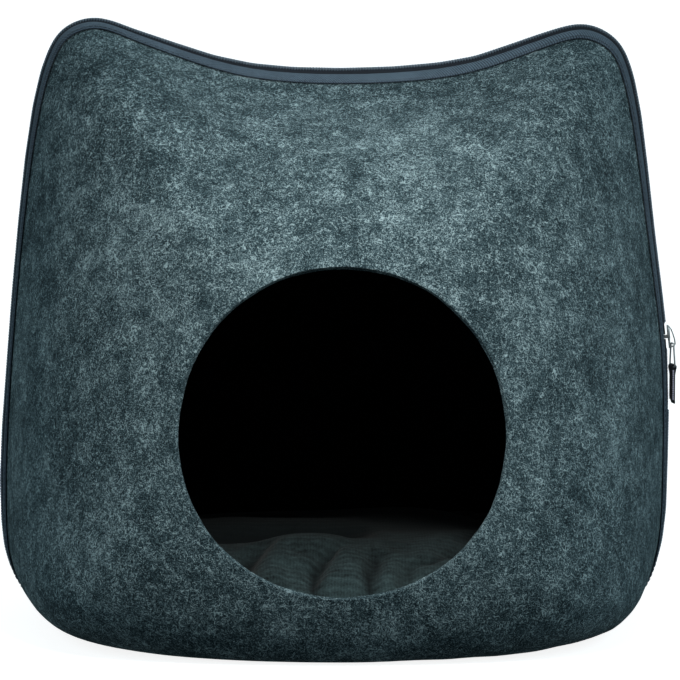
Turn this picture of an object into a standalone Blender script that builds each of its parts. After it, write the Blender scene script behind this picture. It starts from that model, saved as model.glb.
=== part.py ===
"""Felt cat cave with a cat-head outline: two felt half shells, bound edges, a zip all round, a loose cushion."""
import bpy, bmesh, math
import numpy as np
from mathutils import Vector

# ---- driving sizes (metres) -------------------------------------------------
FELT = 0.004            # thickness of the moulded felt
CENTRE_Z = 0.1258       # height of the middle of the round opening
OPENING = (0.0895, 0.0875)  # half width and half height of the round opening, seen square on
BACK_CAP = (0.022, 0.022)   # the small middle face of the back shell
HALF_DEPTH = 0.1680     # front (or back) half, at the height of the opening's middle
LEAN = 0.75             # how much less deep a half is per metre of height above CENTRE_Z
FLARE_REACH = 0.030     # depth over which the felt turns out to its bound edge
COIL_HALF = 0.0024      # half width of the closed zip coil
GAP = 0.0004            # clearance between fitted pieces
BAND_WIDTH = 0.0090     # width of the folded binding on each side of the coil
BAND_CLOTH = 0.0010     # thickness of the binding cloth
SLIDER_Z = 0.1588       # height of the zip slider on the right-hand side
SLIDER_PLATE = (0.0015, 0.0027)  # lower and upper side of its outer plate, above the felt's line
BRIDGE_TOP = 0.0053     # height of the bridge that holds the ring
RING_TOP = (-0.0038, 0.0041)    # up, out: where the ring crosses the bridge
RING_LOW = (-0.0172, 0.0043)    # up, out: where the ring crosses the tab's head
RING_HALF = (0.0025, 0.0042)    # half width of the ring at its top and at its foot
RING_CORNER = 0.0013    # radius of the ring's corners
WIRE = 0.00055          # radius of the ring's wire
PULL_TURN = math.radians(15)    # the pull hangs turned by this about the vertical
TAB_HALF = 0.0027       # half width of the tab
TAB_WALL = 0.0009       # thickness of one layer of the tab
CUSHION = (0.158, 0.1460)       # half width and half depth of the cushion
CUSHION_SEAM_Z = 0.021  # height of the cushion's edge
CUSHION_CROWN = 0.027   # rise of the cushion's top above its edge
STATIONS = 72           # sections round the outline

# Rim outline in the zip plane, one row per station, counter-clockwise seen from the front:
# x, z, how far the bound edge stands out, shape powers p and q of the section from the rim to the
# front, and how much the outline has shrunk towards a plain dome by the time it reaches the front.
RIM = [  # name,            x,      z,      out,     p,    q,   soft
    ("floor middle",       0.0000, -0.0020, -0.0052, 5.20, 6.60, 1.030),
    ("floor right",        0.0750, -0.0020, -0.0052, 4.90, 6.00, 1.020),
    ("floor right end",    0.1250, -0.0012, -0.0048, 4.20, 4.80, 0.970),
    ("corner right low",   0.1530,  0.0032, -0.0030, 3.60, 3.80, 0.963),
    ("corner right mid",   0.1715,  0.0145,  0.0010, 3.15, 3.10, 0.970),
    ("corner right top",   0.1802,  0.0320,  0.0024, 2.85, 2.60, 0.971),
    ("right low",          0.1842,  0.0550,  0.0036, 2.70, 2.25, 0.975),
    ("right widest",       0.1854,  0.0950,  0.0042, 2.60, 2.05, 0.985),
    ("right slider",       0.1852,  0.1500,  0.0050, 2.55, 1.90, 1.000),
    ("right high",         0.1780,  0.2100,  0.0056, 2.50, 1.72, 1.000),
    ("right below ear",    0.1714,  0.2650,  0.0058, 2.50, 1.58, 0.940),
    ("ear right outside",  0.1650,  0.3044,  0.0062, 2.50, 1.50, 0.860),
    ("ear right corner",   0.1556,  0.3258,  0.0058, 2.50, 1.45, 0.820),
    ("ear right tip",      0.1380,  0.3348,  0.0064, 2.50, 1.38, 0.810),
    ("ear right inside",   0.1105,  0.3286,  0.0074, 2.50, 1.30, 0.890),
    ("saddle right",       0.0720,  0.3158,  0.0082, 2.50, 1.24, 1.000),
    ("saddle middle",      0.0080,  0.3101,  0.0082, 2.50, 1.23, 1.040),
    ("saddle left",       -0.0560,  0.3138,  0.0074, 2.50, 1.27, 1.000),
    ("ear left inside",   -0.1090,  0.3297,  0.0052, 2.50, 1.38, 0.890),
    ("ear left tip",      -0.1385,  0.3386,  0.0036, 2.50, 1.46, 0.810),
    ("ear left corner",   -0.1562,  0.3316,  0.0034, 2.50, 1.48, 0.820),
    ("ear left outside",  -0.1670,  0.3104,  0.0036, 2.50, 1.50, 0.860),
    ("left below ear",    -0.1744,  0.2750,  0.0036, 2.50, 1.58, 0.940),
    ("left high",         -0.1816,  0.2150,  0.0036, 2.50, 1.72, 1.000),
    ("left middle",       -0.1874,  0.1500,  0.0036, 2.55, 1.90, 1.000),
    ("left widest",       -0.1920,  0.0850,  0.0050, 2.60, 2.05, 0.985),
    ("left low",          -0.1915,  0.0530,  0.0042, 2.70, 2.25, 0.975),
    ("corner left top",   -0.1882,  0.0320,  0.0026, 2.85, 2.60, 0.975),
    ("corner left mid",   -0.1781,  0.0145,  0.0010, 3.15, 3.10, 0.970),
    ("corner left low",   -0.1590,  0.0032, -0.0030, 3.60, 3.80, 0.961),
    ("floor left end",    -0.1290, -0.0012, -0.0048, 4.20, 4.80, 0.968),
    ("floor left",        -0.0750, -0.0020, -0.0052, 4.90, 6.00, 1.020),
]


# ---- the outline ------------------------------------------------------------
def closed_spline(rows, per_span=24):
    """Smooth closed curve through the rows; every column is carried along."""
    pts = np.array(rows, float)
    n = len(pts)
    out = []
    for i in range(n):
        p = [pts[(i + k) % n] for k in (-1, 0, 1, 2)]
        knots = [0.0]
        for a, b in zip(p[:-1], p[1:]):
            knots.append(knots[-1] + max(np.linalg.norm(b[:2] - a[:2]), 1e-6) ** 0.5)
        t0, t1, t2, t3 = knots
        for k in range(per_span):
            t = t1 + (t2 - t1) * k / per_span
            a1 = (t1 - t) / (t1 - t0) * p[0] + (t - t0) / (t1 - t0) * p[1]
            a2 = (t2 - t) / (t2 - t1) * p[1] + (t - t1) / (t2 - t1) * p[2]
            a3 = (t3 - t) / (t3 - t2) * p[2] + (t - t2) / (t3 - t2) * p[3]
            b1 = (t2 - t) / (t2 - t0) * a1 + (t - t0) / (t2 - t0) * a2
            b2 = (t3 - t) / (t3 - t1) * a2 + (t - t1) / (t3 - t1) * a3
            out.append((t2 - t) / (t2 - t1) * b1 + (t - t1) / (t2 - t1) * b2)
    return np.array(out)


def pick(points, count, closed, bend_weight):
    """Positions spread along a line, closer together where it bends."""
    ring = np.vstack([points, points[:1]]) if closed else points
    step = np.diff(ring[:, :2], axis=0)
    length = np.linalg.norm(step, axis=1)
    heading = np.unwrap(np.arctan2(step[:, 1], step[:, 0]))
    turn = np.abs(np.diff(heading, append=heading[-1]))
    if closed:
        turn = np.convolve(np.r_[turn[-12:], turn, turn[:12]], np.ones(25) / 25, "valid")
    weight = length / length.sum() + bend_weight * turn / max(turn.sum(), 1e-9)
    total = np.r_[0.0, np.cumsum(weight)]
    want = np.linspace(0.0, total[-1], count + 1 if closed else count)
    if closed:
        want = want[:-1]
    at = np.interp(want, total, np.arange(len(total)))
    return at, ring


def sample(ring, at):
    low = np.minimum(at.astype(int), len(ring) - 2)
    part = (at - low)[:, None]
    return ring[low] * (1 - part) + ring[low + 1] * part


class Rim:
    """The outline with its section shape at each of the chosen stations."""

    def __init__(self, count, split=None):
        dense = closed_spline([row[1:] for row in RIM])
        step = np.roll(dense[:, :2], -1, axis=0) - np.roll(dense[:, :2], 1, axis=0)
        normal = np.stack([step[:, 1], -step[:, 0]], 1)
        normal /= np.linalg.norm(normal, axis=1)[:, None]
        wide = np.hstack([dense, normal])
        at, ring = pick(wide, count, True, 1.3)
        if split:
            at = self.opened(at, ring, *split)
        rows = sample(ring, at)
        self.x, self.z, self.out, self.p, self.q, self.soft = rows[:, :6].T
        self.normal = rows[:, 6:8] / np.linalg.norm(rows[:, 6:8], axis=1)[:, None]
        self.count = len(at)

    @staticmethod
    def opened(at, ring, height, gap):
        """Stations of an open line that starts just above and ends just below a height on the right."""
        right = np.where((ring[:-1, 0] > 0) & (ring[:-1, 1] <= height) & (ring[1:, 1] > height))[0][0]
        rise = ring[right + 1, 1] - ring[right, 1]
        middle = right + (height - ring[right, 1]) / rise
        half, clear = gap / 2 / rise, 0.006 / rise
        last = len(ring) - 1
        after = at[at > middle + clear]
        before = at[at < middle - clear]
        return np.r_[middle + half, after, before + last, middle - half + last] % last

    def scale(self, i, share):
        """Size of the outline, as a share of the rim, at a share of the full depth."""
        fade = share * share * (3 - 2 * share)
        return max(1 - share ** self.q[i], 0.0) ** (1 / self.p[i]) * (1 + (self.soft[i] - 1) * fade)

    def end_share(self, i, radii):
        """Share of the depth at which the section reaches a round opening about the centre."""
        ox = self.x[i] - self.out[i] * self.normal[i, 0]
        oz = self.z[i] - self.out[i] * self.normal[i, 1] - CENTRE_Z
        inner = 1 / math.hypot(ox / radii[0], oz / radii[1])
        low, high = 0.0, 1.0
        for _ in range(40):
            mid = (low + high) / 2
            low, high = (mid, high) if self.scale(i, mid) > inner else (low, mid)
        return low

    def point(self, i, share=None, depth=None, raw=False):
        """Outer felt surface on the front half: at a share of the full depth, or at a depth in metres."""
        ox = self.x[i] - self.out[i] * self.normal[i, 0]
        oz = self.z[i] - self.out[i] * self.normal[i, 1] - CENTRE_Z
        if share is None:
            share = depth / HALF_DEPTH
            for _ in range(6):
                share *= depth / max(-self.point(i, share=share)[1], 1e-9) if depth > 0 else 0.0
        size = self.scale(i, share)
        x, z = ox * size, CENTRE_Z + oz * size
        y = HALF_DEPTH * share * (1 - LEAN * (z - CENTRE_Z))
        if raw:
            return np.array([x, -y, z])
        z = settle(z)
        near = max(1 - y / FLARE_REACH, 0.0) ** 2 * self.out[i]
        return np.array([x + near * self.normal[i, 0], -y, z + near * self.normal[i, 1]])

    def slope(self, i, depth):
        """How fast the outline shrinks with depth, as an angle."""
        a, b = self.point(i, depth=depth - 0.0008), self.point(i, depth=depth + 0.0008)
        drop = (a - b)[[0, 2]] @ self.normal[i]
        return math.atan2(drop, b[1] * -1 + a[1])

    def offset(self, i, depth, thick):
        """A point standing `thick` off the felt surface, kept at the same depth."""
        base = self.point(i, depth=depth)
        reach = thick / math.cos(self.slope(i, depth))
        return base + reach * np.array([self.normal[i, 0], 0.0, self.normal[i, 1]])


def settle(z, blend=0.0025):
    """The lower side lies flat on the ground: heights below it are taken up to 0 with a soft turn."""
    if z >= blend:
        return z
    return 0.0 if z <= -blend else (z + blend) ** 2 / (4 * blend)


# ---- bodies -----------------------------------------------------------------
def new_object(name, bm, collection, colour, rough=0.8, metal=0.0):
    mesh = bpy.data.meshes.new(name)
    bmesh.ops.recalc_face_normals(bm, faces=bm.faces)
    bm.to_mesh(mesh)
    bm.free()
    obj = bpy.data.objects.new(name, mesh)
    collection.objects.link(obj)
    mat = bpy.data.materials.new(name + "_mat")
    mat.use_nodes = True
    shader = mat.node_tree.nodes["Principled BSDF"]
    shader.inputs["Base Color"].default_value = (*colour, 1.0)
    shader.inputs["Roughness"].default_value = rough
    shader.inputs["Metallic"].default_value = metal
    mesh.materials.append(mat)
    return obj


def loft(bm, loops, close_ring=True, wrap=False, caps=False):
    """Quads between successive loops of points."""
    rows = [[bm.verts.new(Vector(p)) for p in loop] for loop in loops]
    pairs = list(zip(rows[:-1], rows[1:])) + ([(rows[-1], rows[0])] if wrap else [])
    for low, high in pairs:
        n = len(low)
        for k in range(n if close_ring else n - 1):
            m = (k + 1) % n
            bm.faces.new((low[k], low[m], high[m], high[k]))
    if caps:
        bm.faces.new(rows[0])
        bm.faces.new(rows[-1])
    return rows


def shell_loops(rim, rings, end_radius):
    """Loops of the outer surface, from the bound edge in to a circle round the centre."""
    loops = [[] for _ in range(rings)]
    plain = [[] for _ in range(rings)]
    tip = COIL_HALF + GAP
    for i in range(rim.count):
        lean_in = max(math.sin(rim.slope(i, 0.004)), 0.0)
        edge = tip + BAND_CLOTH + GAP + FELT * lean_in * 1.65
        shares = np.linspace(0.0, 1.0, 160) ** 1.5
        start = edge / HALF_DEPTH
        stop = rim.end_share(i, end_radius)
        dense = np.array([rim.point(i, share=start + (stop - start) * s) for s in shares])
        under = np.array([rim.point(i, share=start + (stop - start) * s, raw=True) for s in shares])
        away = np.hypot(dense[:, 0], dense[:, 2] - CENTRE_Z)
        line = np.column_stack([away, -dense[:, 1], dense, under])
        past = np.argmax(line[:, 1] > tip + BAND_WIDTH + 0.0012)
        at, ring = pick(line[past:], rings - 2, False, 0.9)
        middle = rim.point(i, depth=tip + BAND_WIDTH * 0.55)
        held = [line[0, 2:], np.r_[middle, middle]] + list(sample(ring, at)[:, 2:])
        for k, row in enumerate(held):
            loops[k].append(row[:3])
            plain[k].append(row[3:])
    return evened(np.array(loops), np.array(plain), end_radius)


def evened(grid, plain, radii, passes=10, held=3):
    """Takes small bumps out of a grid of loops; the bound edge, the flat floor and the last loop's round stay."""
    for turn in range(passes * 2):
        amount = 0.45 if turn % 2 == 0 else -0.44
        for part in (grid, plain):
            beside = (np.roll(part, 1, axis=1) + np.roll(part, -1, axis=1)) / 2
            along = (part[held - 1:-2] + part[held + 1:]) / 2
            part[held:-1] += amount * ((beside[held:-1] + along) / 2 - part[held:-1])
            part[-1, :, 1] += amount * (beside[-1, :, 1] - part[-1, :, 1])
    for k in range(5, len(grid)):
        for part in (grid, plain):
            ring = part[k]
            size = np.abs(ring - ring.mean(0)).mean(0)
            for _ in range(3 * (k - 4)):
                ring += 0.5 * ((np.roll(ring, 1, axis=0) + np.roll(ring, -1, axis=0)) / 2 - ring)
            middle = ring.mean(0)
            ring[:] = middle + (ring - middle) * size / np.abs(ring - middle).mean(0)
    for part in (grid, plain):
        across, up = part[-1, :, 0], part[-1, :, 2] - CENTRE_Z
        reach = np.hypot(across / radii[0], up / radii[1])
        part[-1, :, 0], part[-1, :, 2] = across / reach, CENTRE_Z + up / reach
    height = plain[held:, :, 2]
    low = np.clip((0.030 - height) / 0.020, 0.0, 1.0)
    grid[held:, :, 2] += low * (np.vectorize(settle)(height) - grid[held:, :, 2])
    return grid


def shell(name, rim, collection, back):
    rings, end_radius = (14, BACK_CAP) if back else (12, OPENING)
    loops = shell_loops(rim, rings, end_radius)
    if back:
        loops = [[p * (1, -1, 1) for p in loop] for loop in loops]
    bm = bmesh.new()
    rows = loft(bm, loops)
    if back:
        bm.faces.new(rows[-1])
    obj = new_object(name, bm, collection, (0.075, 0.105, 0.115), 0.95)
    outward = sum((f.normal * f.area for f in obj.data.polygons), Vector())
    if outward.y * (1 if back else -1) < 0:
        obj.data.flip_normals()
    mod = obj.modifiers.new("felt", "SOLIDIFY")
    mod.thickness = FELT
    mod.offset = -1.0
    mod.use_even_offset = True
    return obj


def band(name, rim, collection, back):
    """Binding folded round the felt edge: an outer fold, a turn next to the coil, an inner fold."""
    tip = COIL_HALF + GAP
    slot = tip + BAND_CLOTH
    far = tip + BAND_WIDTH
    middle = tip + BAND_WIDTH * 0.55
    clear, under = 0.00038, 0.00063
    over = clear + BAND_CLOTH
    section = [  # depth from the zip plane, height above the felt surface
        (far, clear), (far - 0.0004, over - 0.0002), (far - 0.0040, over + 0.0001), (tip + 0.0016, over - 0.0001),
        (tip + 0.0003, -0.0006), (tip, -FELT / 2), (tip + 0.0003, -FELT + 0.0004),
        (tip + 0.0018, -FELT - over + 0.0001), (far - 0.0040, -FELT - over - 0.0002), (far, -FELT - over),
        (far, -FELT - under), (middle, -FELT - under), (slot, -FELT - under), (slot, clear), (middle, clear)]
    flip = (1, -1, 1) if back else (1, 1, 1)
    loops = [[rim.offset(i, d, h) * flip for d, h in section] for i in range(rim.count)]
    bm = bmesh.new()
    loft(bm, loops, wrap=True)
    return new_object(name, bm, collection, (0.085, 0.115, 0.16), 0.7)


def coil(name, collection):
    """Closed zip coil running round the whole outline, starting and ending inside the slider."""
    rim = Rim(STATIONS, (SLIDER_Z, 0.0030))
    half = COIL_HALF
    section = [(half, -0.0002), (half - 0.0007, 0.0007), (0.0, 0.0010), (-half + 0.0007, 0.0007),
               (-half, -0.0002), (-half, -0.0012), (-half + 0.0007, -0.0020), (half - 0.0007, -0.0020),
               (half, -0.0012)]
    loops = []
    for i in range(rim.count):
        base = rim.point(i, depth=0.0)
        out = np.array([rim.normal[i, 0], 0.0, rim.normal[i, 1]])
        loops.append([base + out * h + np.array([0.0, y, 0.0]) for y, h in section])
    bm = bmesh.new()
    loft(bm, loops, caps=True)
    return new_object(name, bm, collection, (0.06, 0.065, 0.08), 0.45)


class Side:
    """Axes at the slider: up along the zip, across it (+Y), and out from it."""

    def __init__(self):
        rim = Rim(STATIONS, (SLIDER_Z, 0.0))
        self.at = rim.point(0, depth=0.0)
        n = rim.normal[0]
        self.out = np.array([n[0], 0.0, n[1]])
        self.up = np.array([-n[1], 0.0, n[0]])
        self.across = np.array([0.0, 1.0, 0.0])

    def place(self, up, across, out):
        return self.at + self.up * up + self.across * across + self.out * out


class Hung(Side):
    """Axes of what hangs from the bridge: straight up, and turned by PULL_TURN about the ring's top."""

    def __init__(self):
        super().__init__()
        c, s = math.cos(PULL_TURN), math.sin(PULL_TURN)
        pivot = RING_TOP[1]
        self.up = np.array([0.0, 0.0, 1.0])
        self.out = np.array([c, s, 0.0])
        self.across = np.array([-s, c, 0.0])
        self.at = self.at + np.array([pivot, 0.0, 0.0]) - self.out * pivot


def block(bm, side, spans, taper=1.0, edge=0.0):
    """A box between three pairs of limits (up, across, out), its outer face drawn in by `taper`."""
    (u0, u1), (a0, a1), (o0, o1) = spans
    um, am = (u0 + u1) / 2, (a0 + a1) / 2
    corner = min(u1 - u0, a1 - a0) * edge
    flat = [(u0, a0 + corner), (u0 + corner, a0), (u1 - corner, a0), (u1, a0 + corner),
            (u1, a1 - corner), (u1 - corner, a1), (u0 + corner, a1), (u0, a1 - corner)]
    loops = [[side.place(um + (u - um) * k, am + (a - am) * k, o) for u, a in flat]
             for o, k in ((o0, 1.0), (o1, taper))]
    loft(bm, loops, caps=True)


def swept(bm, side, path, width, thick):
    """A flat strip of rectangular section bent along a path in the up-out plane."""
    loops = []
    for k, (u, o) in enumerate(path):
        a, b = path[max(k - 1, 0)], path[min(k + 1, len(path) - 1)]
        run = np.array([b[0] - a[0], b[1] - a[1]])
        run /= np.linalg.norm(run)
        nu, no = -run[1] * thick / 2, run[0] * thick / 2
        loops.append([side.place(u + nu, -width / 2, o + no), side.place(u + nu, width / 2, o + no),
                      side.place(u - nu, width / 2, o - no), side.place(u - nu, -width / 2, o - no)])
    loft(bm, loops, caps=True)


def joined(name, parts, collection, colour, rough, metal):
    """One closed body from overlapping parts."""
    objs = []
    for k, fill in enumerate(parts):
        bm = bmesh.new()
        fill(bm)
        objs.append(new_object(name if k == 0 else name + "_add%d" % k, bm, collection, colour, rough, metal))
    bpy.context.view_layer.update()
    for extra in objs[1:]:
        mod = objs[0].modifiers.new("join", "BOOLEAN")
        mod.operation = "UNION"
        mod.solver = "EXACT"
        mod.object = extra
    return objs[0], objs[1:]


def slider(collection, tools):
    """Zip slider: wide head and narrow tail, inner plate, post between the coil ends, bridge for the pull."""
    side = Side()
    low, high = SLIDER_PLATE
    arch = BRIDGE_TOP
    path = [(0.0058, low + 0.0006), (0.0051, low + 0.0015), (0.0036, low + 0.0023), (0.0008, low + 0.0031),
            (-0.0020, arch - 0.0001), (-0.0046, arch), (-0.0058, arch - 0.0008), (-0.0062, low + 0.0006)]
    parts = [
        lambda bm: block(bm, side, ((-0.0020, 0.0066), (-0.0038, 0.0038), (low, high)), 0.86, 0.24),
        lambda bm: block(bm, side, ((-0.0068, 0.0010), (-0.0018, 0.0018), (low + 0.0001, high - 0.0001)), 0.9, 0.24),
        lambda bm: block(bm, side, ((-0.0010, 0.0010), (-0.0007, 0.0007), (-0.0030, low + 0.0004))),
        lambda bm: block(bm, side, ((-0.0055, 0.0055), (-0.0020, 0.0020), (-0.0035, -0.0025)), 1.0, 0.2),
        lambda bm: swept(bm, side, path, 0.0022, 0.0007)]
    obj, extras = joined("slider", parts, collection, (0.72, 0.73, 0.74), 0.28, 1.0)
    park(extras, collection, tools)
    return obj


def park(objs, collection, tools):
    for obj in objs:
        collection.objects.unlink(obj)
        tools.objects.link(obj)
        obj.hide_render = True
        obj.display_type = "WIRE"


def ring(collection):
    """Wire ring through the bridge of the slider and the head of the tab, wider at its foot."""
    side = Hung()
    line = []
    for (u, o), half, turn in ((RING_TOP, RING_HALF[0], 1), (RING_LOW, RING_HALF[1], -1)):
        for angle in np.radians(range(0, 181, 30)):
            reach = half - RING_CORNER
            a = -RING_CORNER * math.cos(angle) + (reach if math.cos(angle) < 0 else -reach)
            line.append((u + turn * RING_CORNER * (math.sin(angle) - 1), a * turn, o))
            if abs(math.cos(angle)) < 1e-6:
                line[-1] = (u, -reach * turn, o)
                line.append((u, reach * turn, o))
    pts = [np.array(side.place(*row)) for row in line]
    loops = []
    n = len(pts)
    lay = np.cross(side.across, side.up * (RING_LOW[0] - RING_TOP[0]) + side.out * (RING_LOW[1] - RING_TOP[1]))
    lay /= np.linalg.norm(lay)
    for k in range(n):
        run = pts[(k + 1) % n] - pts[k - 1]
        run /= np.linalg.norm(run)
        wide = np.cross(run, lay)
        loops.append([pts[k] + WIRE * (math.cos(t) * wide + math.sin(t) * lay) for t in np.arange(8) * math.pi / 4])
    bm = bmesh.new()
    loft(bm, loops, wrap=True)
    return new_object("pull_ring", bm, collection, (0.72, 0.73, 0.74), 0.25, 1.0)


def tab(collection, tools):
    """Pull tab: a strap folded over the ring, pressed together below it, its end cut to a slant."""
    side = Hung()
    u0, o0 = RING_LOW
    eye = WIRE + 0.00032
    head = [(u0 + (eye + TAB_WALL) * math.cos(t), o0 + (eye + TAB_WALL) * math.sin(t))
            for t in np.radians([100, 75, 50, 25, 0, -25, -50, -75, -100])]
    profile = head + [(u0 - 0.0034, o0 - 0.0011), (u0 - 0.0050, o0 - TAB_WALL), (u0 - 0.0166, o0 - TAB_WALL),
                      (u0 - 0.0178, o0 - 0.0007), (u0 - 0.0203, o0 + 0.0001), (u0 - 0.0211, o0 + 0.0005),
                      (u0 - 0.0209, o0 + 0.0010), (u0 - 0.0196, o0 + TAB_WALL), (u0 - 0.0050, o0 + TAB_WALL),
                      (u0 - 0.0034, o0 + 0.0011)]

    def body(bm):
        loft(bm, [[side.place(u, a, o) for u, o in profile] for a in (-TAB_HALF, TAB_HALF)], caps=True)

    def hole(bm):
        turns = np.arange(12) * math.pi / 6
        loft(bm, [[side.place(u0 + eye * math.cos(t), a, o0 + eye * math.sin(t)) for t in turns]
                  for a in (-0.008, 0.008)], caps=True)

    bm = bmesh.new()
    body(bm)
    obj = new_object("pull_tab", bm, collection, (0.03, 0.03, 0.035), 0.55)
    bm = bmesh.new()
    hole(bm)
    cut = new_object("pull_tab_eye", bm, collection, (0.5, 0.5, 0.5))
    park([cut], collection, tools)
    mod = obj.modifiers.new("eye", "BOOLEAN")
    mod.operation = "DIFFERENCE"
    mod.solver = "EXACT"
    mod.object = cut
    return obj


# Humps and hollows of the loose cover, one row each: x, y, reach across, reach along, height.
FOLDS = [
    ("hump left of middle", -0.016, -0.082, 0.030, 0.046, 0.0050),
    ("crease left",         -0.050, -0.085, 0.010, 0.050, -0.0042),
    ("crease middle",        0.010, -0.090, 0.009, 0.060, -0.0036),
    ("hump beside crease",   0.020, -0.070, 0.008, 0.060, 0.0022),
    ("hollow right",         0.034, -0.095, 0.014, 0.045, -0.0034),
    ("hump right",           0.068, -0.075, 0.036, 0.055, 0.0066),
    ("hollow far",          -0.030,  0.060, 0.050, 0.040, -0.0040),
    ("hump far right",       0.070,  0.060, 0.050, 0.045, 0.0035),
    ("hump far left",       -0.095,  0.020, 0.035, 0.050, 0.0030),
]


def cushion(collection):
    """Loose filled cushion on the cave floor: crowned top, drawn-in edge, underside over the zip ridge."""
    around, size = 48, np.array(CUSHION)
    top = [1.0, 0.985, 0.95, 0.89, 0.80, 0.68, 0.54, 0.40, 0.25, 0.11]
    low = [0.985, 0.95, 0.88, 0.72, 0.50, 0.28, 0.10]

    def edge(angle):
        c, s = abs(math.cos(angle)), abs(math.sin(angle))
        plain = (c ** 2.35 + s ** 2.35) ** (-1 / 2.35)
        return plain * (1 + 0.010 * math.cos(5 * angle + 0.8) + 0.007 * math.cos(8 * angle + 2.0))

    def spot(angle, share):
        return size * edge(angle) * share * np.array([math.cos(angle), math.sin(angle)])

    def upper(x, y, share):
        z = CUSHION_SEAM_Z + CUSHION_CROWN * (1 - share ** 2.8) ** (1 / 1.9)
        for _, fx, fy, rx, ry, height in FOLDS:
            z += height * math.exp(-((x - fx) / rx) ** 2 - ((y - fy) / ry) ** 2) * (1 - share ** 6)
        return z

    def lower(x, y, share):
        ride = min(max((0.036 - abs(y)) / 0.022, 0.0), 1.0)
        ground = FELT + 0.0005 + 0.0069 * ride * ride * (3 - 2 * ride)
        return CUSHION_SEAM_Z - (CUSHION_SEAM_Z - ground) * (1 - share ** 5) ** (1 / 2.2)

    loops = []
    for shares, height in ((list(reversed(top)), upper), (low, lower)):
        for share in shares:
            loop = []
            for k in range(around):
                x, y = spot(2 * math.pi * k / around, share)
                loop.append((x, y, height(x, y, share)))
            loops.append(loop)
    bm = bmesh.new()
    loft(bm, loops, caps=True)
    return new_object("cushion", bm, collection, (0.03, 0.045, 0.045), 0.95)


def build():
    for obj in list(bpy.data.objects):
        bpy.data.objects.remove(obj, do_unlink=True)
    collection = bpy.data.collections.new("felt_cat_cave")
    tools = bpy.data.collections.new("cutters")
    for group in (collection, tools):
        bpy.context.scene.collection.children.link(group)
    rim = Rim(STATIONS)
    shell("front_shell", rim, collection, False)
    shell("back_shell", rim, collection, True)
    band("front_band", rim, collection, False)
    band("back_band", rim, collection, True)
    coil("zip_coil", collection)
    slider(collection, tools)
    ring(collection)
    tab(collection, tools)
    cushion(collection)


build()
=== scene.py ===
"""Looks of the felt cat cave: two felt halves, bound edges, a zip with its pull, and a loose cushion."""
import bpy, bmesh, math
import numpy as np
from mathutils import Matrix, Vector, noise
from mathutils.bvhtree import BVHTree

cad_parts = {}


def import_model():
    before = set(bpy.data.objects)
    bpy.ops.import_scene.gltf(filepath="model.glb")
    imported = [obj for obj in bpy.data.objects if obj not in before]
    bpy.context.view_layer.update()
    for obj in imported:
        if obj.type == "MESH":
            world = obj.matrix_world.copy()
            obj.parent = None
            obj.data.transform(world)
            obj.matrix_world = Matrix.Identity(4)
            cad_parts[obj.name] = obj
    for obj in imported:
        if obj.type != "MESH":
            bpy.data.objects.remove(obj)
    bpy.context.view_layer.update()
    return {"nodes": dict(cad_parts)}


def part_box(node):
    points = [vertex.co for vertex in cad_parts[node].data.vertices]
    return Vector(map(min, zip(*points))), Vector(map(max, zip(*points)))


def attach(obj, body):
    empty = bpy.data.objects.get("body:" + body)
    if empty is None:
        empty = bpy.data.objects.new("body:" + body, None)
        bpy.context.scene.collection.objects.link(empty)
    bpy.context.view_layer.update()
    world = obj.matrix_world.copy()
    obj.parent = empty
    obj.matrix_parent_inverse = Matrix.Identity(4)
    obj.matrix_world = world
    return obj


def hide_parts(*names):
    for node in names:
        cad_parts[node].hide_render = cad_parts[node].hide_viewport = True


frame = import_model()
nodes = frame["nodes"]

CENTRE_Z = 0.1258       # height of the middle of the round entrance
BAND_WIDTH = 0.0090     # width of the binding on each side of the coil
COIL_HALF = 0.0024      # half width of the zip coil
FIT = 0.0004            # clearance between the coil and a binding
TOOTH_PITCH = 0.00160   # spacing of the coil's turns along one side
TOOTH_LENGTH = 0.00335  # length of a turn across the seam
TOOTH_PAST = 0.00095    # how far a turn reaches over the seam's middle
TOOTH_WIDTH = 0.00088   # width of a turn along the seam, at its root
TOOTH_PROUD = 0.0006    # how far the turns stand above the solid coil, except near the pull
CORE_SINK = 0.0007      # how far the coil's core is sunk below its turns
CORE_REACH = 0.00274    # half width of the core's inner side, where the tape closes the seam
STITCH_PITCH = 0.0031   # spacing of the binding's stitches
STITCH_INSET = 0.0016   # how far the stitches lie inside the binding's edge
STITCH = (STITCH_PITCH * 0.72, 0.00050, 0.00036)  # length, width and height of a stitch
PULL_TURN = math.radians(15)  # how far the pull hangs turned about the vertical
SEAM_POINTS = 2400      # even points along the seam's outline
SEAM_ROUNDS = 60        # rounds of smoothing that outline gets
RAW_EDGE = 0.0007       # rounding of the felt's cut edges
FELT_LUMPS = ((55.0, 0.00045), (170.0, 0.00018))  # frequency and height of the felt's unevenness
CALM = 0.02             # over which length that unevenness fades in, from the bound edge and the floor
VOXEL = 0.0042          # mesh size of the cushion cover before its rounding
COVER_SLACK = (0.018, 0.90)  # how much the cover starts smaller on the plan, and its start height
COVER_RISE = 0.0025     # how far the cushion cover may bulge over its solid
COOL = (0.74, 0.93, 1.00)  # colour of the air and of the side lights
WARM = (1.00, 0.97, 0.94)  # colour of the key light
PICTURE_WIDTH = 680     # width of the picture in pixels


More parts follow.
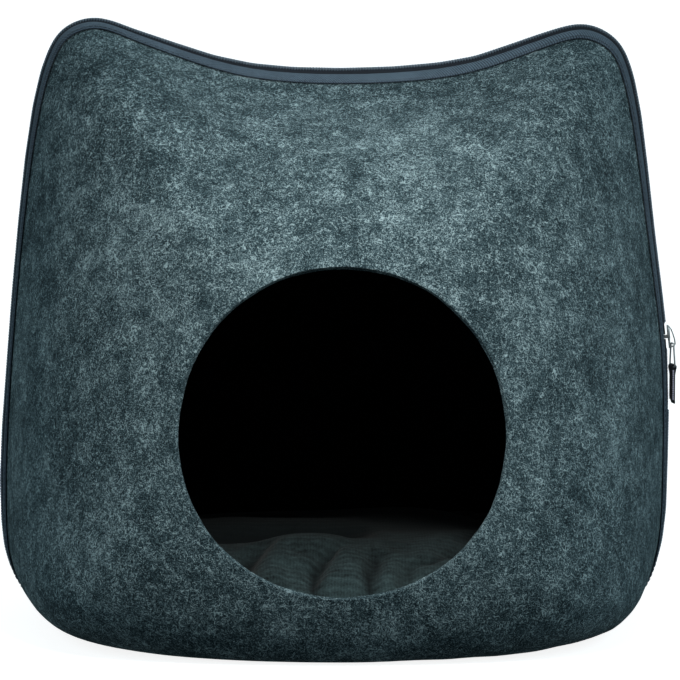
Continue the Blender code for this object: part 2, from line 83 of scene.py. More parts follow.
# ---- materials ---------------------------------------------------------------
class Wire:
    """An output of a node, usable in sums."""

    def __init__(self, finish, socket):
        self.finish, self.socket = finish, socket

    def math(self, operation, other=None, swap=False, clamp=False):
        pair = [self] if other is None else [other, self] if swap else [self, other]
        settings = {"operation": operation, "use_clamp": clamp}
        return self.finish.node("ShaderNodeMath", settings, dict(enumerate(pair)))

    def __add__(self, other):
        return self.math("ADD", other)

    def __mul__(self, other):
        return self.math("MULTIPLY", other)

    def __sub__(self, other):
        return self.math("SUBTRACT", other)

    def __rsub__(self, other):
        return self.math("SUBTRACT", other, swap=True)

    def __truediv__(self, other):
        return self.math("DIVIDE", other)

    def __abs__(self):
        return self.math("ABSOLUTE")

    __radd__ = __add__
    __rmul__ = __mul__

    def clip(self):
        return self.math("ADD", 0.0, clamp=True)

    def waves(self, pitch):
        """Even waves from 0 to 1 along a length."""
        return (self * (2 * math.pi / pitch)).math("SINE") * 0.5 + 0.5


class Finish:
    """One material: a shader with its constants, and the nodes that vary over the surface."""

    def __init__(self, name, colour, roughness, metallic=0.0, constants=None):
        self.material = bpy.data.materials.new(name)
        self.material.use_nodes = True
        self.material.diffuse_color = (*colour, 1.0)
        self.tree = self.material.node_tree
        self.shader = self.tree.nodes["Principled BSDF"]
        plain = {"Base Color": (*colour, 1.0), "Roughness": roughness, "Metallic": metallic}
        for socket, value in {**plain, **(constants or {})}.items():
            self.shader.inputs[socket].default_value = value

    def node(self, kind, settings=None, values=None, output=0):
        made = self.tree.nodes.new(kind)
        for key, value in (settings or {}).items():
            if key == "stops":
                ramp = made.color_ramp
                while len(ramp.elements) < len(value):
                    ramp.elements.new(0.5)
                for stop, (place, shade) in zip(ramp.elements, value):
                    stop.position = place
                    stop.color = (*shade, 1.0)
            else:
                setattr(made, key, value)
        for key, value in (values or {}).items():
            if isinstance(value, Wire):
                self.tree.links.new(value.socket, made.inputs[key])
            else:
                made.inputs[key].default_value = value
        return Wire(self, made.outputs[output])

    def place(self):
        return self.node("ShaderNodeTexCoord", output="Object")

    def moved(self, vector, location, rotation=(0, 0, 0)):
        return self.node("ShaderNodeMapping", None,
                         {"Vector": vector, "Location": location, "Rotation": rotation})

    def noise(self, vector, scale, detail=2.0, rough=0.5, output="Fac"):
        return self.node("ShaderNodeTexNoise", None,
                         {"Vector": vector, "Scale": scale, "Detail": detail, "Roughness": rough}, output)

    def part(self, vector, axis):
        return self.node("ShaderNodeSeparateXYZ", None, {"Vector": vector}, axis)

    def mix(self, factor, first, second):
        """A colour between two, by a factor from 0 to 1."""
        made = self.tree.nodes.new("ShaderNodeMix")
        made.data_type = "RGBA"
        self.tree.links.new(factor.socket, made.inputs[0])
        for socket, colour in ((made.inputs[6], first), (made.inputs[7], second)):
            socket.default_value = (*colour, 1.0)
        return Wire(self, made.outputs[2])

    def feed(self, **links):
        for name, wire in links.items():
            self.tree.links.new(wire.socket, self.shader.inputs[name.replace("_", " ")])

    def raise_by(self, height, distance, strength=1.0):
        values = {"Height": height, "Distance": distance, "Strength": strength}
        self.feed(Normal=self.node("ShaderNodeBump", None, values))


# Layers of hairs in the felt: turn of the layer, frequency of its noise, half width of a hair in noise.
HAIR_LAYERS = ((0.0, 150.0, 0.017), (3.7, 190.0, 0.020), (8.1, 240.0, 0.024), (12.9, 170.0, 0.018),
               (17.3, 280.0, 0.028), (21.1, 210.0, 0.022), (26.3, 320.0, 0.030))


def felt_finish(name, dark, middle, pale, shift, inside=False):
    """Needled felt: a mottled ground with fine specks, and short curled pale hairs in several layers."""
    f = Finish(name, middle, 0.92, constants={
        "Specular IOR Level": 0.12, "Sheen Weight": 0.0 if inside else 0.05,
        "Sheen Roughness": 0.5, "Sheen Tint": (0.75, 0.86, 0.90, 1.0)})
    here = f.moved(f.place(), location=shift)
    bent = f.noise(here, 170.0, 2.0, output="Color")
    warp = f.node("ShaderNodeVectorMath", {"operation": "MULTIPLY_ADD"},
                  {0: bent, 1: (0.008, 0.008, 0.008), 2: here})
    cloud = f.noise(here, 24.0, 2.0, 0.5)
    patch = f.noise(here, 90.0, 3.0, 0.6)
    speck = f.noise(here, 1350.0, 2.0, 0.6)
    grit = f.noise(warp, 560.0, 2.0, 0.6)
    hairs = None
    for turn, size, thin in HAIR_LAYERS:
        path = f.moved(warp, location=(turn * 0.11, turn * 0.07, turn * 0.05),
                       rotation=(turn, turn * 0.7, turn * 1.3))
        line = 1.0 - abs(f.noise(path, size, 0.0) - 0.5) / thin
        where = (f.noise(path, size * 1.7, 0.0) - 0.47) * 9.0
        strand = line.clip() * where.clip()
        hairs = strand if hairs is None else hairs.math("MAXIMUM", strand)
    ground = (0.31 + (cloud - 0.5) * 0.55 + (patch - 0.5) * 0.60
              + (speck - 0.5) * 2.1 + (grit - 0.5) * 0.9)
    tone = (ground + hairs * (0.50 + (patch - 0.5) * 1.2).clip() * 1.1).clip()
    stops = ((0.0, dark), (0.42, middle), (1.0, pale))
    f.feed(Base_Color=f.node("ShaderNodeValToRGB", {"stops": stops}, {"Fac": tone}, "Color"))
    f.raise_by(hairs * 0.8 + speck * 1.0 + patch * 0.5, 0.0006, 0.6)
    return f.material


def twill_finish(name, dark, pale, pitch, lean, rough=0.62, depth=0.00022, edge=None):
    """Woven strip with fine diagonal ribs along its UV map, in metres; `edge` tells where painted shadow
    lines darken its rims.
    """
    f = Finish(name, pale, rough, constants={"Specular IOR Level": 0.30, "Sheen Weight": 0.05})
    uv = f.node("ShaderNodeUVMap", {"uv_map": "run"}, output="UV")
    along, across = f.part(uv, "X"), f.part(uv, "Y")
    wander = f.noise(f.place(), 60.0, 2.0)
    rib = (along + across * lean + (wander - 0.5) * 0.0003).waves(pitch)
    thread = (across - along * 0.35).waves(pitch * 0.8)
    fluff = f.noise(f.place(), 900.0, 2.0)
    tone = rib * 0.85 + thread * 0.25 + (fluff - 0.5) * 0.9 + (wander - 0.5) * 0.5 - 0.02
    if edge is not None:
        near, far = edge
        # painted shadow lines: darker towards the rim at the coil and the rim at the felt
        tone = tone * (1.0 - ((across - far) * 900.0).clip()) * (0.35 + (across - near) * 500.0).clip()
    f.feed(Base_Color=f.mix(tone.clip(), dark, pale), Roughness=(rough + (fluff - 0.5) * 0.25).clip())
    f.raise_by(rib + thread * 0.4, depth, 0.6)
    return f.material


def nylon_finish(name, dark, pale):
    """Half-matt nylon of uneven tone."""
    f = Finish(name, dark, 0.38, constants={"Specular IOR Level": 0.5})
    grain = f.noise(f.place(), 700.0, 2.0)
    f.feed(Base_Color=f.mix(grain, dark, pale), Roughness=(grain * 0.3 + 0.25).clip())
    return f.material


def plate_finish(name, colour):
    """Nickel plate with small scuffs."""
    f = Finish(name, colour, 0.30, 0.75)
    scuff = f.noise(f.place(), 900.0, 3.0)
    worn = f.noise(f.place(), 180.0, 2.0)
    f.feed(Roughness=(scuff * 0.25 + worn * 0.15 + 0.12).clip(),
           Base_Color=f.mix(worn, colour, (0.55, 0.56, 0.56)))
    f.raise_by(scuff, 0.00006, 0.3)
    return f.material


def thread_finish(name, colour, pale):
    """Sewing thread with a fine twist."""
    f = Finish(name, colour, 0.55, constants={"Sheen Weight": 0.1})
    twist = f.noise(f.place(), 2600.0, 1.0)
    f.feed(Base_Color=f.mix(twist, colour, pale))
    f.raise_by(twist, 0.0001, 0.5)
    return f.material


def cover_finish(name, dark, pale):
    """Cushion cover: a brushed knit with fine ribs, with painted shade in its folds, far inside the cave
    and on the left.
    """
    f = Finish(name, pale, 0.9, constants={
        "Specular IOR Level": 0.2, "Sheen Weight": 0.08, "Sheen Roughness": 0.5})
    here = f.place()
    wander = f.noise(here, 45.0, 2.0)
    slub = f.noise(here, 260.0, 2.0)
    rib = (f.part(here, "Y") + (wander - 0.5) * 0.0060).waves(0.0060)
    wale = (f.part(here, "X") + (wander - 0.5) * 0.0030).waves(0.0017)
    pile = f.noise(here, 800.0, 3.0)
    # painted shade in the folds: the creases' depth darkens the cover's colour
    fold = f.node("ShaderNodeAttribute", {"attribute_name": "fold"}, output="Fac")
    tone = (rib * 0.20 * slub * 2.0 + wale * 0.12 + (pile - 0.5) * 0.8 + (slub - 0.5) * 0.5
            + (wander - 0.5) * 0.6 + 0.30)
    # painted shade: the cover darkens towards the back of the cave and towards its left side
    painted_depth_shade = ((f.part(here, "Y") + 0.118) * 11.0).clip()
    left = (f.part(here, "X") * -14.0 - 0.4).clip()
    light = tone.clip() * (1.0 - fold) * (1.0 - painted_depth_shade * 0.85) * (1.0 - left * 0.5)
    f.feed(Base_Color=f.mix(light.clip(), dark, pale))
    f.raise_by(rib * slub + wale * 0.4 + pile * 0.8, 0.0005, 0.4)
    return f.material


FELT_OUT = felt_finish("felt_outside", (0.009, 0.020, 0.025), (0.069, 0.114, 0.130), (0.43, 0.57, 0.60),
                       shift=(0, 0, 0))
# The inside felt's colour is painted shade: nearly black, for the dark inside of the cave.
FELT_IN_SHADED = felt_finish("felt_inside", (0.002, 0.003, 0.0035), (0.007, 0.009, 0.010), (0.03, 0.036, 0.04),
                      shift=(0.3, 0.2, 0.1), inside=True)
# The binding's two rims get painted shadow lines, placed by `edge`.
BINDING = twill_finish("binding_tape", (0.016, 0.028, 0.046), (0.150, 0.215, 0.275), 0.00150, 1.0,
                       edge=(COIL_HALF + 0.0006, COIL_HALF + BAND_WIDTH - 0.0008))
SEWING = thread_finish("binding_thread", (0.028, 0.042, 0.062), (0.095, 0.130, 0.165))
NYLON = nylon_finish("coil_nylon", (0.060, 0.090, 0.130), (0.300, 0.380, 0.450))
TAPE = twill_finish("zip_tape", (0.006, 0.009, 0.014), (0.020, 0.028, 0.042), 0.0009, 0.0)
PLATE = plate_finish("nickel_plate", (0.88, 0.90, 0.88))
STRAP = twill_finish("pull_strap", (0.004, 0.004, 0.006), (0.018, 0.018, 0.026), 0.0008, 0.6, 0.5, 0.0001)
PALE_THREAD = thread_finish("pull_thread", (0.42, 0.40, 0.56), (0.72, 0.70, 0.80))
COVER = cover_finish("cushion_cover", (0.003, 0.006, 0.007), (0.086, 0.142, 0.148))


# ---- shared helpers ----------------------------------------------------------
def merged(node):
    """A bmesh of a frame node with its loose triangles joined."""
    bm = bmesh.new()
    bm.from_mesh(nodes[node].data)
    bmesh.ops.remove_doubles(bm, verts=bm.verts, dist=1e-6)
    return bm


def piece(name, bm, materials, body="root"):
    """A smooth-shaded object from a bmesh, riding on a body of the frame."""
    mesh = bpy.data.meshes.new(name)
    bm.to_mesh(mesh)
    bm.free()
    for material in materials:
        mesh.materials.append(material)
    obj = bpy.data.objects.new(name, mesh)
    bpy.context.scene.collection.objects.link(obj)
    mesh.shade_smooth()
    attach(obj, body)
    return obj


def joined(bm, flat, square):
    """Joins pairs of triangles to quads, where they are flat and square enough, in degrees."""
    bmesh.ops.join_triangles(bm, faces=bm.faces, angle_face_threshold=math.radians(flat),
                             angle_shape_threshold=math.radians(square))


def sharp_edges(bm, degrees):
    """The edges whose faces meet at more than an angle."""
    return [e for e in bm.edges if len(e.link_faces) == 2 and e.calc_face_angle() > math.radians(degrees)]


def rounded(bm, edges, width, segments=1):
    """Bevels edges by a width."""
    bmesh.ops.bevel(bm, geom=edges, offset=width, offset_type="OFFSET", affect="EDGES", segments=segments,
                    profile=0.5, material=-1)


def applied(obj):
    """Puts what an object's modifiers make of its mesh in that mesh's place."""
    bpy.context.view_layer.update()
    graph = bpy.context.evaluated_depsgraph_get()
    mesh = bpy.data.meshes.new_from_object(obj.evaluated_get(graph))
    obj.modifiers.clear()
    obj.data = mesh
    return mesh


def columns(items, name):
    """One vector property of a mesh's vertices, as rows of an array."""
    values = np.zeros(len(items) * 3)
    items.foreach_get(name, values)
    return values.reshape(-1, 3)


def subdivided(obj, levels):
    """Rounds a piece's mesh by subdivision."""
    mod = obj.modifiers.new("rounding", "SUBSURF")
    mod.levels = mod.render_levels = levels
    mod.boundary_smooth = "PRESERVE_CORNERS"
    return obj


class Seam:
    """The zip's outline in its own plane, as points, outward normals and running lengths."""

    def __init__(self):
        bm = merged("zip_coil")
        at = np.array([v.co[:] for v in bm.verts])
        bm.free()
        line = at[np.abs(at[:, 1]) < 0.0004]
        turn = np.arctan2(line[:, 2] - CENTRE_Z, line[:, 0])
        far = np.hypot(line[:, 0], line[:, 2] - CENTRE_Z)
        order = np.argsort(turn)
        line, turn, far = line[order], turn[order], far[order]
        outer = []
        for k in range(len(line)):  # only the coil's top, not what lies below it in the same direction
            near = np.abs((turn - turn[k] + math.pi) % (2 * math.pi) - math.pi) < 0.012
            if far[k] >= far[near].max() - 0.0006:
                outer.append(line[k])
        pts = np.array(outer)[:, [0, 2]]
        ring = np.vstack([pts, pts[:1]])
        run = np.r_[0.0, np.cumsum(np.linalg.norm(np.diff(ring, axis=0), axis=1))]
        self.length = run[-1]
        want = np.linspace(0.0, self.length, SEAM_POINTS, endpoint=False)
        even = np.column_stack([np.interp(want, run, ring[:, 0]), np.interp(want, run, ring[:, 1])])
        for _ in range(SEAM_ROUNDS):
            even = (np.roll(even, 1, axis=0) + np.roll(even, -1, axis=0) + 2 * even) / 4
        self.points = even
        ahead = np.roll(even, -1, axis=0) - np.roll(even, 1, axis=0)
        ahead /= np.linalg.norm(ahead, axis=1)[:, None]
        self.ahead = ahead
        self.out = np.column_stack([ahead[:, 1], -ahead[:, 0]])
        self.turns = np.unwrap(np.arctan2(even[:, 1] - CENTRE_Z, even[:, 0]))
        self.steps = np.arange(SEAM_POINTS) / SEAM_POINTS * self.length

    def at(self, length):
        """Point on the coil's top, running direction and outward direction, at a running length."""
        k = (length / self.length * SEAM_POINTS) % SEAM_POINTS
        low, part = int(k) % SEAM_POINTS, k - int(k)
        high = (low + 1) % SEAM_POINTS
        mixed = [(a[low] * (1 - part) + a[high] * part) for a in (self.points, self.ahead, self.out)]
        spot, ahead, out = (Vector((v[0], 0.0, v[1])) for v in mixed)
        return spot, ahead.normalized(), out.normalized()

    def length_of(self, x, z):
        """Running length whose direction from the middle is that of a point."""
        turn = (math.atan2(z - CENTRE_Z, x) - self.turns[0]) % (2 * math.pi)
        return float(np.interp(turn, self.turns - self.turns[0], self.steps))


SEAM = Seam()


def on_surface(tree, length, depth, back):
    """Where a ray towards the seam's outline meets a surface, some depth before or behind the seam."""
    spot, ahead, out = SEAM.at(length)
    start = spot + out * 0.03 + Vector((0.0, depth if back else -depth, 0.0))
    hit, normal, _, _ = tree.ray_cast(start, -out)
    return hit, normal, ahead


# ---- felt halves -------------------------------------------------------------
def felt_half(name, node):
    """The moulded felt: smoothed, a little uneven, with softened raw edges, and an inner side painted
    nearly black as the shade inside the cave.
    """
    bm = merged(node)
    joined(bm, 40, 60)
    rounded(bm, sharp_edges(bm, 50), RAW_EDGE, 2)
    bm.normal_update()
    for face in bm.faces:
        centre = face.calc_center_median() - Vector((0.0, 0.0, CENTRE_Z))
        aside = Vector((centre.x, 0.0, centre.z))
        cut = aside.length < 0.1 and face.normal.dot(aside.normalized()) < -0.7
        inward = face.normal.dot(centre.normalized()) < -0.2
        face.material_index = 1 if inward and not cut else 0
    obj = piece(name, bm, [FELT_OUT, FELT_IN_SHADED])
    subdivided(obj, 2)
    mesh = applied(obj)
    mesh.name = name
    mesh.shade_smooth()
    at, facing = columns(mesh.vertices, "co"), columns(mesh.vertices, "normal")
    lump = np.array([sum(noise.noise(Vector(p) * often) * high for often, high in FELT_LUMPS) for p in at])
    hold = np.clip((np.abs(at[:, 1]) - 0.014) / CALM, 0, 1) * np.clip((at[:, 2] - 0.004) / CALM, 0, 1)
    mesh.vertices.foreach_set("co", (at + facing * (lump * hold)[:, None]).ravel())
    mesh.update()
    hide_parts(node)


felt_half("felt_front", "front_shell")
felt_half("felt_back", "back_shell")


# ---- binding, stitches -------------------------------------------------------
def binding(name, node):
    """Folded tape; its UV map says how far along the seam and how far from its plane a point lies."""
    bm = merged(node)
    joined(bm, 40, 60)
    layer = bm.loops.layers.uv.new("run")
    for face in bm.faces:
        runs = [SEAM.length_of(loop.vert.co.x, loop.vert.co.z) for loop in face.loops]
        for loop, run in zip(face.loops, runs):
            near = run - SEAM.length * round((run - runs[0]) / SEAM.length)
            loop[layer].uv = (near, abs(loop.vert.co.y))
    obj = piece(name, bm, [BINDING])
    subdivided(obj, 1)
    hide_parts(node)


def stitch_row(name, node, back):
    """The row of stitches along a binding's edge: small rounded bars, narrower at their top."""
    bm = merged(node)
    tree = BVHTree.FromBMesh(bm)
    bm.free()
    out = bmesh.new()
    count = int(SEAM.length / STITCH_PITCH)
    long, wide, high = STITCH
    depth = COIL_HALF + FIT + BAND_WIDTH - STITCH_INSET
    for k in range(count):
        hit, normal, ahead = on_surface(tree, (k + 0.5) * SEAM.length / count, depth, back)
        if hit is None or hit.z < 0.008:
            continue
        side = normal.cross(ahead).normalized()
        ahead = side.cross(normal).normalized()
        made = bmesh.ops.create_cube(out, size=1.0)["verts"]
        turn = Matrix((ahead, side, normal)).transposed().to_4x4()
        for v in made:
            share, lift = (1.0, 0.0) if v.co.z < 0 else (0.6, high * 0.1)
            v.co = Vector((v.co.x * long, v.co.y * wide * share, v.co.z * high + lift))
        bmesh.ops.transform(out, matrix=Matrix.Translation(hit + normal * high * 0.15) @ turn, verts=made)
    rounded(out, out.edges[:], wide * 0.22)
    piece(name, out, [SEWING])


for back, side in ((False, "front"), (True, "back")):
    binding("binding_" + side, side + "_band")
    stitch_row("binding_stitches_" + side, side + "_band", back)


# ---- zip coil ----------------------------------------------------------------
def by_slider(spot, below, above):
    """Whether a point of the seam is on the slider's side of the cave, between two heights."""
    return spot.x > 0.1 and below < spot.z < above


def tooth_shape():
    """Corners and faces of one turn of the coil, as a rounded cube of size 1."""
    tooth = bmesh.new()
    bmesh.ops.create_cube(tooth, size=1.0)
    rounded(tooth, tooth.edges[:], 0.24)
    shape = bpy.data.meshes.new("tooth_shape")
    tooth.to_mesh(shape)
    tooth.free()
    plain = columns(shape.vertices, "co")
    sides = [list(p.vertices) for p in shape.polygons]
    bpy.data.meshes.remove(shape)
    return plain, sides


def zip_teeth():
    """The closed coil: interlocked nylon turns, alternately from either side of the seam."""
    slider_low, slider_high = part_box("slider")
    tab_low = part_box("pull_tab")[0]
    plain, sides = tooth_shape()
    spots, faces = [], []
    count = int(SEAM.length / TOOTH_PITCH)
    for k in range(count * 2):
        spot, ahead, out = SEAM.at(k * SEAM.length / (count * 2))
        if by_slider(spot, slider_low.z - 0.0005, slider_high.z + 0.0005):
            continue
        side = 1.0 if k % 2 else -1.0
        proud = 0.0 if by_slider(spot, tab_low.z - 0.004, slider_high.z + 0.002) else TOOTH_PROUD
        faces += [[v + len(spots) for v in corners] for corners in sides]
        for x, y, z in plain:  # a turn gets thinner and dips towards both ends, and leans along the seam
            reach = side * ((y + 0.5) * TOOTH_LENGTH - TOOTH_PAST)
            thick = TOOTH_WIDTH * (1.0 - 0.22 * (y + 0.5))
            rise = proud - 0.0002 - 1.6e-4 * (y * 2) ** 2
            spots.append(spot + ahead * (x * thick + y * 0.0003) + Vector((0.0, reach, 0.0))
                         + out * (z * (0.00125 + proud) - 0.00062 - proud / 2 + rise))
    mesh = bpy.data.meshes.new("zip_teeth")
    mesh.from_pydata(spots, [], faces)
    bm = bmesh.new()
    bm.from_mesh(mesh)
    bpy.data.meshes.remove(mesh)
    bmesh.ops.recalc_face_normals(bm, faces=bm.faces)
    coil = piece("zip_teeth", bm, [NYLON])
    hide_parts("zip_coil")


def zip_core():
    """The dark core under the turns; its inner side is wider, so that no light comes through the seam."""
    slider_low, slider_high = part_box("slider")
    core = merged("zip_coil")
    for v in core.verts:
        spot, _, out = SEAM.at(SEAM.length_of(v.co.x, v.co.z))
        inner = (v.co - spot).dot(out) < -0.0009
        near_slider = by_slider(spot, slider_low.z - 0.006, slider_high.z + 0.006)
        if inner and abs(v.co.y) > 0.0012 and not near_slider:
            v.co.y = math.copysign(CORE_REACH, v.co.y)
        else:
            v.co.y *= 0.96
        v.co -= out * CORE_SINK
    layer = core.loops.layers.uv.new("run")
    for face in core.faces:
        for loop in face.loops:
            loop[layer].uv = (loop.vert.co.x + loop.vert.co.z, loop.vert.co.y)
    piece("zip_core", core, [TAPE])


zip_teeth()
zip_core()


# ---- slider, ring, pull ------------------------------------------------------
def slider():
    """The slider with its small edges broken."""
    bm = merged("slider")
    bmesh.ops.dissolve_limit(bm, angle_limit=math.radians(3), verts=bm.verts, edges=bm.edges)
    rounded(bm, sharp_edges(bm, 25), 0.00016, 2)
    obj = piece("zip_slider", bm, [PLATE])
    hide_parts("slider")


def ring():
    """The wire ring, with a round section."""
    bm = merged("pull_ring")
    joined(bm, 80, 80)
    obj = piece("pull_wire", bm, [PLATE])
    subdivided(obj, 2)
    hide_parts("pull_ring")


def strap():
    """The pull's strap, with a weave along its height."""
    bm = merged("pull_tab")
    bmesh.ops.dissolve_limit(bm, angle_limit=math.radians(2), verts=bm.verts, edges=bm.edges)
    rounded(bm, sharp_edges(bm, 30), 0.00022, 2)
    layer = bm.loops.layers.uv.new("run")
    for face in bm.faces:
        for loop in face.loops:
            loop[layer].uv = (loop.vert.co.z, loop.vert.co.y + loop.vert.co.x * 0.5)
    obj = piece("pull_strap", bm, [STRAP])
    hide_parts("pull_tab")


def strap_stitches():
    """Pale stitches on both narrow edges of the strap."""
    low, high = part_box("pull_tab")
    middle = (low + high) / 2
    bm = merged("pull_tab")
    tree = BVHTree.FromBMesh(bm)
    bm.free()
    up = Vector((0.0, 0.0, 1.0))
    turn = Matrix.Rotation(PULL_TURN, 3, "Z")
    across, away = turn @ Vector((0.0, 1.0, 0.0)), turn @ Vector((1.0, 0.0, 0.0))
    out = bmesh.new()
    rows = 14
    for k in range(rows):
        z = low.z + 0.0028 + (high.z - low.z - 0.0068) * k / (rows - 1)
        for sign in (-1.0, 1.0):
            start = Vector((middle.x, middle.y, z)) + across * (sign * 0.01) - away * 0.00040
            hit, normal, _, _ = tree.ray_cast(start, across * -sign)
            if hit is None:
                continue
            for v in bmesh.ops.create_cube(out, size=1.0)["verts"]:
                v.co = (hit + up * (v.co.z * 0.00090) + away * (v.co.y * 0.00095)
                        + normal * (v.co.x * 0.00034))
    rounded(out, out.edges[:], 0.0001)
    piece("pull_stitches", out, [PALE_THREAD])


slider()
ring()
strap()
strap_stitches()


# ---- cushion -----------------------------------------------------------------
def settled(obj, frames, pressure, cap):
    """Fills the cover with air for a moment, so that its cloth tightens and creases; keeps that shape."""
    rest = [v.co.copy() for v in obj.data.vertices]
    mod = obj.modifiers.new("fill", "CLOTH")
    cloth = mod.settings
    cloth.use_pressure = True
    cloth.uniform_pressure_force = pressure
    cloth.quality = 6
    cloth.mass = 0.25
    cloth.tension_stiffness = cloth.compression_stiffness = 12.0
    cloth.shear_stiffness = 4.0
    cloth.bending_stiffness = 0.15
    cloth.shrink_min = -0.05
    cloth.effector_weights.gravity = 0.0
    mod.point_cache.frame_start, mod.point_cache.frame_end = 1, frames
    scene = bpy.context.scene
    for step in range(1, frames + 1):
        scene.frame_set(step)
    mesh = applied(obj)
    scene.frame_set(1)
    for vert, was in zip(mesh.vertices, rest):
        move = vert.co - was
        if move.length > cap:
            vert.co = was + move * (cap / move.length)


# Sharp folds of the loose cover: start and end on the plan, bend sideways, width, depth.
CREASES = [
    ("left",         (-0.058, -0.128), (-0.040, -0.060), 0.004, 0.0060, 0.0075),
    ("left short",   (-0.074, -0.112), (-0.060, -0.050), -0.003, 0.0050, 0.0040),
    ("middle",       (-0.012, -0.146), (0.004, -0.068), 0.010, 0.0034, 0.0058),
    ("middle right", (0.016, -0.142), (0.022, -0.080), 0.003, 0.0036, 0.0056),
    ("right",        (0.034, -0.138), (0.040, -0.096), 0.002, 0.0032, 0.0036),
    ("right slant",  (0.040, -0.104), (0.078, -0.050), -0.006, 0.0040, 0.0040),
    ("right far",    (0.062, -0.060), (0.100, -0.030), 0.004, 0.0050, 0.0030),
    ("behind hump",  (-0.088, -0.034), (0.020, -0.026), 0.006, 0.0150, 0.0095),
    ("back left",    (-0.080, 0.030), (-0.020, 0.070), 0.008, 0.0060, 0.0040),
    ("back right",   (0.030, 0.080), (0.090, 0.020), 0.006, 0.0060, 0.0040),
]


def creased(at):
    """How far the folds sink (or, beside them, lift) the cover at each point."""
    sunk = np.zeros(len(at))
    for _, start, end, bend, width, depth in CREASES:
        start, run = np.array(start), np.array(end) - np.array(start)
        length = np.linalg.norm(run)
        run /= length
        along = (at[:, :2] - start) @ run / length
        aside = (at[:, :2] - start) @ np.array([-run[1], run[0]]) - bend * 4 * along * (1 - along)
        fade = np.sqrt(np.sin(np.clip(along, 0, 1) * math.pi))
        sunk += depth * fade * (np.exp(-(aside / width) ** 2)
                                - 0.30 * np.exp(-((np.abs(aside) - 2.6 * width) / (1.5 * width)) ** 2))
    return sunk * np.clip((at[:, 2] - 0.024) / 0.010, 0, 1)


def cushion():
    """The loose cover: filled for a moment, held to within a little of its solid, and creased."""
    bm = merged("cushion")
    low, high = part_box("cushion")
    middle = (low + high) / 2
    for v in bm.verts:
        flat = Vector((v.co.x - middle.x, v.co.y - middle.y, 0.0))
        v.co -= flat * COVER_SLACK[0]
        v.co.z = middle.z + (v.co.z - middle.z) * COVER_SLACK[1]
    obj = piece("cushion_cover", bm, [COVER])
    remesh = obj.modifiers.new("even", "REMESH")
    remesh.mode = "VOXEL"
    remesh.voxel_size = VOXEL
    applied(obj)
    settled(obj, frames=18, pressure=3.0, cap=0.008)
    shell = merged("cushion")
    tree = BVHTree.FromBMesh(shell)
    shell.free()
    for vert in obj.data.vertices:  # inside its solid below, and not far over it above
        spot, normal, _, _ = tree.find_nearest(vert.co)
        out = (vert.co - spot).dot(normal)
        if vert.co.z < 0.022 and out > -0.0002:
            vert.co = spot - normal * 0.0002
        elif out > COVER_RISE:
            vert.co = spot + normal * COVER_RISE
    at = columns(obj.data.vertices, "co")
    sunk = creased(at)
    at[:, 2] -= sunk
    obj.data.vertices.foreach_set("co", at.ravel())
    # The creases' depth is kept as an attribute that paints shade into the cover's folds.
    fold = obj.data.attributes.new("fold", "FLOAT", "POINT")
    fold.data.foreach_set("value", np.clip(sunk / 0.0050, 0.0, 0.9))
    subdivided(obj, 1)
    obj.data.shade_smooth()
    obj.data.materials.clear()
    obj.data.materials.append(COVER)
    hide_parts("cushion")


cushion()


# ---- floor, light, camera ----------------------------------------------------
def floor():
    """A white floor that half shines by itself and throws no light back up on the felt."""
    bm = bmesh.new()
    bmesh.ops.create_grid(bm, x_segments=1, y_segments=1, size=40.0)
    mesh = bpy.data.meshes.new("floor")
    bm.to_mesh(mesh)
    bm.free()
    paint = Finish("floor_paint", (0.80, 0.80, 0.80), 0.9, constants={"Specular IOR Level": 0.0,
                   "Emission Color": (1.0, 1.0, 1.0, 1.0), "Emission Strength": 0.86})
    mesh.materials.append(paint.material)
    obj = bpy.data.objects.new("floor", mesh)
    obj.visible_diffuse = False
    obj.visible_glossy = False
    bpy.context.scene.collection.objects.link(obj)


def direction(azimuth, elevation):
    """Direction from the cave to an azimuth and elevation in degrees; azimuth 0 is the entrance side."""
    a, e = math.radians(azimuth), math.radians(elevation)
    return Vector((math.sin(a) * math.cos(e), -math.cos(a) * math.cos(e), math.sin(e)))


def placed(name, data, target, azimuth, elevation, distance):
    """An object that looks at a target from a direction and distance."""
    obj = bpy.data.objects.new(name, data)
    back = direction(azimuth, elevation)
    obj.location = Vector(target) + back * distance
    obj.rotation_euler = back.to_track_quat("Z", "Y").to_euler()
    bpy.context.scene.collection.objects.link(obj)
    return obj


def sun(name, energy, azimuth, elevation, spread):
    """A soft, even light from one side."""
    light = bpy.data.lights.new(name, "SUN")
    light.energy, light.color, light.angle = energy, COOL, math.radians(spread)
    placed(name, light, (0, 0, 0.16), azimuth, elevation, 3.0)


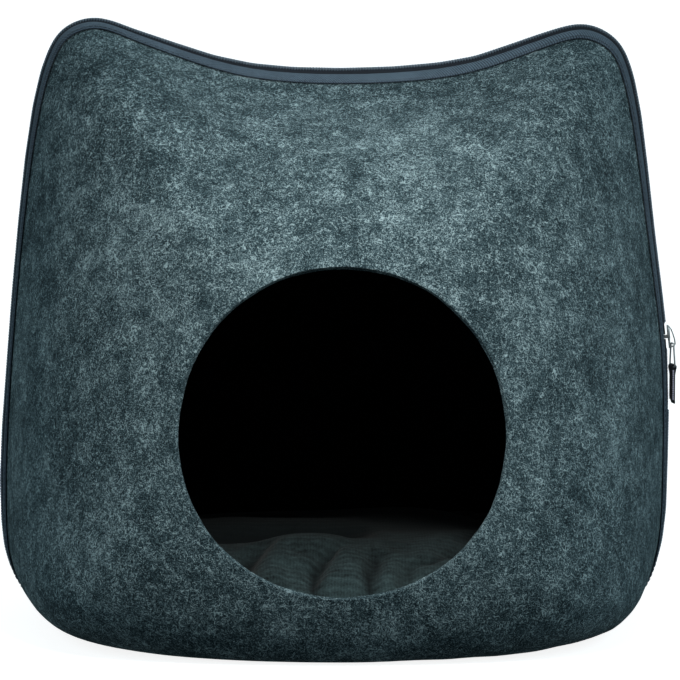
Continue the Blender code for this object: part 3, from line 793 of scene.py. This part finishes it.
def spot_light(name, energy, azimuth, elevation, distance, target, cone, size):
    """A lamp close by, with a cone that fades out from its middle."""
    light = bpy.data.lights.new(name, "SPOT")
    light.energy, light.color = energy, WARM
    light.spot_size, light.spot_blend, light.shadow_soft_size = math.radians(cone), 1.0, size
    placed(name, light, target, azimuth, elevation, distance)


def world(sky, ground, strength):
    """Plain studio air: paler above the horizon than below it."""
    made = bpy.data.worlds.new("studio")
    bpy.context.scene.world = made
    made.use_nodes = True
    tree = made.node_tree
    air = tree.nodes["Background"]
    where = tree.nodes.new("ShaderNodeTexCoord")
    split = tree.nodes.new("ShaderNodeSeparateXYZ")
    ramp = tree.nodes.new("ShaderNodeValToRGB")
    for stop, level in zip(ramp.color_ramp.elements, (ground, sky)):
        stop.color = (*(level * part for part in COOL), 1.0)
    half = tree.nodes.new("ShaderNodeMath")
    half.operation = "MULTIPLY_ADD"
    half.inputs[1].default_value = half.inputs[2].default_value = 0.5
    tree.links.new(where.outputs["Generated"], split.inputs[0])
    tree.links.new(split.outputs["Z"], half.inputs[0])
    tree.links.new(half.outputs[0], ramp.inputs[0])
    tree.links.new(ramp.outputs["Color"], air.inputs["Color"])
    air.inputs["Strength"].default_value = strength


def camera(azimuth, elevation, distance, height, pixels_per_metre):
    """The photo's camera: it looks at a height over the origin, with a scale in pixels there."""
    data = bpy.data.cameras.new("camera")
    data.sensor_width = 36.0
    data.lens = pixels_per_metre * distance / PICTURE_WIDTH * data.sensor_width
    data.clip_start, data.clip_end = 0.05, 100.0
    bpy.context.scene.camera = placed("camera", data, (0, 0, height), azimuth, elevation, distance)


floor()
spot_light("key", 5.8, 11.0, 47.0, 0.48, target=(0, -0.115, 0.180), cone=70, size=0.06)
sun("right", 0.98, 74.0, 30.0, 50)
sun("left", 0.66, -74.0, 30.0, 50)
sun("rear", 0.25, 175.0, 50.0, 60)
world(0.38, 0.14, 0.38)
bpy.context.scene.view_settings.view_transform = "Standard"
camera(-0.5, 6.8, 2.6, 0.157, 1763.0)
